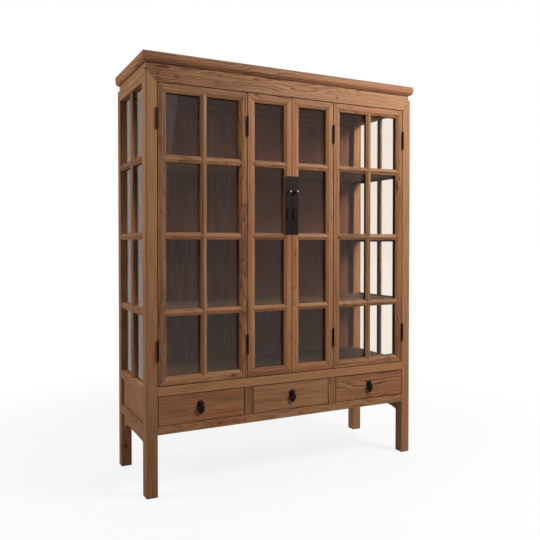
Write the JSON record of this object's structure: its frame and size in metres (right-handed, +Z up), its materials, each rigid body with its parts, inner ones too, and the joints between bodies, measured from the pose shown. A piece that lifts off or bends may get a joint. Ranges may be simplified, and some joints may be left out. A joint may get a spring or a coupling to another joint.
{
  "type": "display cabinet",
  "caption": "Tall timber display cabinet on legs, with folding glazed doors, glazed sides, shelves, drawers and black iron fittings.",
  "frame": {"origin": "on the floor, under the middle of the whole object's box", "axes": "+X along the front to the viewer's right, +Y to the back, +Z up"},
  "size_m": [1.504, 0.546, 2],
  "materials": {
    "frame_wood": "reclaimed pine, thin matt wax, brown",
    "door_wood": "reclaimed pine, thin matt wax, brown",
    "drawer_wood": "reclaimed pine, thin matt wax, strong grain",
    "inner_wood": "reclaimed pine, unwaxed, greyed",
    "dark_back_wood": "dark stained boards",
    "clear_glass": "clear float glass",
    "black_iron": "forged iron, black waxed, worn bright on the knobs"
  },
  "bodies": {
    "carcass": {"front_left_post": "frame_wood", "front_right_post": "frame_wood", "rear_left_post": "frame_wood", "rear_right_post": "frame_wood", "front_top_rail": "frame_wood", "front_middle_rail": "frame_wood", "front_bottom_rail": "frame_wood", "rear_rails": "frame_wood", "side_rails": "frame_wood", "cornice": "frame_wood", "top_board": "frame_wood", "top_battens": "frame_wood", "side_bars": "frame_wood", "side_glass": "clear_glass", "side_panels": "frame_wood", "side_aprons": "frame_wood", "lower_shelf": "inner_wood", "middle_shelf": "inner_wood", "upper_shelf": "inner_wood", "shelf_cleats": "inner_wood", "floor_board": "inner_wood", "top_door_stop": "inner_wood", "back_boards": "dark_back_wood", "drawer_dividers": "frame_wood", "drawer_runners": "inner_wood", "post_hinges": "black_iron"},
    "left_wide_door": {"left_wide_door_frame": "door_wood", "left_wide_door_bars": "door_wood", "left_wide_door_glass": "clear_glass", "left_wide_door_hinges": "black_iron"},
    "left_narrow_door": {"left_narrow_door_frame": "door_wood", "left_narrow_door_bars": "door_wood", "left_narrow_door_glass": "clear_glass", "left_narrow_door_hinges": "black_iron", "left_lock_plate": "black_iron", "left_lock_stud": "black_iron"},
    "left_lock_tab": {"left_lock_tab": "black_iron"},
    "right_wide_door": {"right_wide_door_frame": "door_wood", "right_wide_door_bars": "door_wood", "right_wide_door_glass": "clear_glass", "right_wide_door_hinges": "black_iron"},
    "right_narrow_door": {"right_narrow_door_frame": "door_wood", "right_narrow_door_bars": "door_wood", "right_narrow_door_glass": "clear_glass", "right_narrow_door_hinges": "black_iron", "right_lock_plate": "black_iron", "right_lock_stud": "black_iron"},
    "right_lock_tab": {"right_lock_tab": "black_iron"},
    "left_drawer": {"left_drawer_front": "drawer_wood", "left_drawer_box": "inner_wood", "left_pull_rose": "black_iron"},
    "left_drawer_pull": {"left_pull_drop": "black_iron"},
    "middle_drawer": {"middle_drawer_front": "drawer_wood", "middle_drawer_box": "inner_wood", "middle_pull_rose": "black_iron"},
    "middle_drawer_pull": {"middle_pull_drop": "black_iron"},
    "right_drawer": {"right_drawer_front": "drawer_wood", "right_drawer_box": "inner_wood", "right_pull_rose": "black_iron"},
    "right_drawer_pull": {"right_pull_drop": "black_iron"}
  },
  "joints": [
    {"name": "left_wide_door_swing", "type": "hinge", "parent": "carcass", "child": "left_wide_door", "pos_m": [-0.6864, -0.2519, 1], "axis": [0, 0, -1], "range_deg": [0, 110]},
    {"name": "left_narrow_door_fold", "type": "hinge", "parent": "left_wide_door", "child": "left_narrow_door", "pos_m": [-0.2428, -0.2519, 1], "axis": [0, 0, -1], "range_deg": [0, 160]},
    {"name": "left_lock_tab_swing", "type": "hinge", "parent": "left_narrow_door", "child": "left_lock_tab", "pos_m": [-0.018, -0.25265, 1.323], "axis": [-1, 0, 0], "range_deg": [0, 80]},
    {"name": "right_wide_door_swing", "type": "hinge", "parent": "carcass", "child": "right_wide_door", "pos_m": [0.6864, -0.2519, 1], "axis": [0, 0, 1], "range_deg": [0, 110]},
    {"name": "right_narrow_door_fold", "type": "hinge", "parent": "right_wide_door", "child": "right_narrow_door", "pos_m": [0.2428, -0.2519, 1], "axis": [0, 0, 1], "range_deg": [0, 160]},
    {"name": "right_lock_tab_swing", "type": "hinge", "parent": "right_narrow_door", "child": "right_lock_tab", "pos_m": [0.018, -0.25265, 1.323], "axis": [-1, 0, 0], "range_deg": [0, 80]},
    {"name": "left_drawer_slide", "type": "slide", "parent": "carcass", "child": "left_drawer", "axis": [0, -1, 0], "range_m": [0, 0.34]},
    {"name": "left_pull_swing", "type": "hinge", "parent": "left_drawer", "child": "left_drawer_pull", "pos_m": [-0.48417, -0.257, 0.403], "axis": [-1, 0, 0], "range_deg": [-6, 75]},
    {"name": "middle_drawer_slide", "type": "slide", "parent": "carcass", "child": "middle_drawer", "axis": [0, -1, 0], "range_m": [0, 0.34]},
    {"name": "middle_pull_swing", "type": "hinge", "parent": "middle_drawer", "child": "middle_drawer_pull", "pos_m": [0.001, -0.257, 0.403], "axis": [-1, 0, 0], "range_deg": [-6, 75]},
    {"name": "right_drawer_slide", "type": "slide", "parent": "carcass", "child": "right_drawer", "axis": [0, -1, 0], "range_m": [0, 0.34]},
    {"name": "right_pull_swing", "type": "hinge", "parent": "right_drawer", "child": "right_drawer_pull", "pos_m": [0.46867, -0.257, 0.403], "axis": [-1, 0, 0], "range_deg": [-6, 75]}
  ]
}
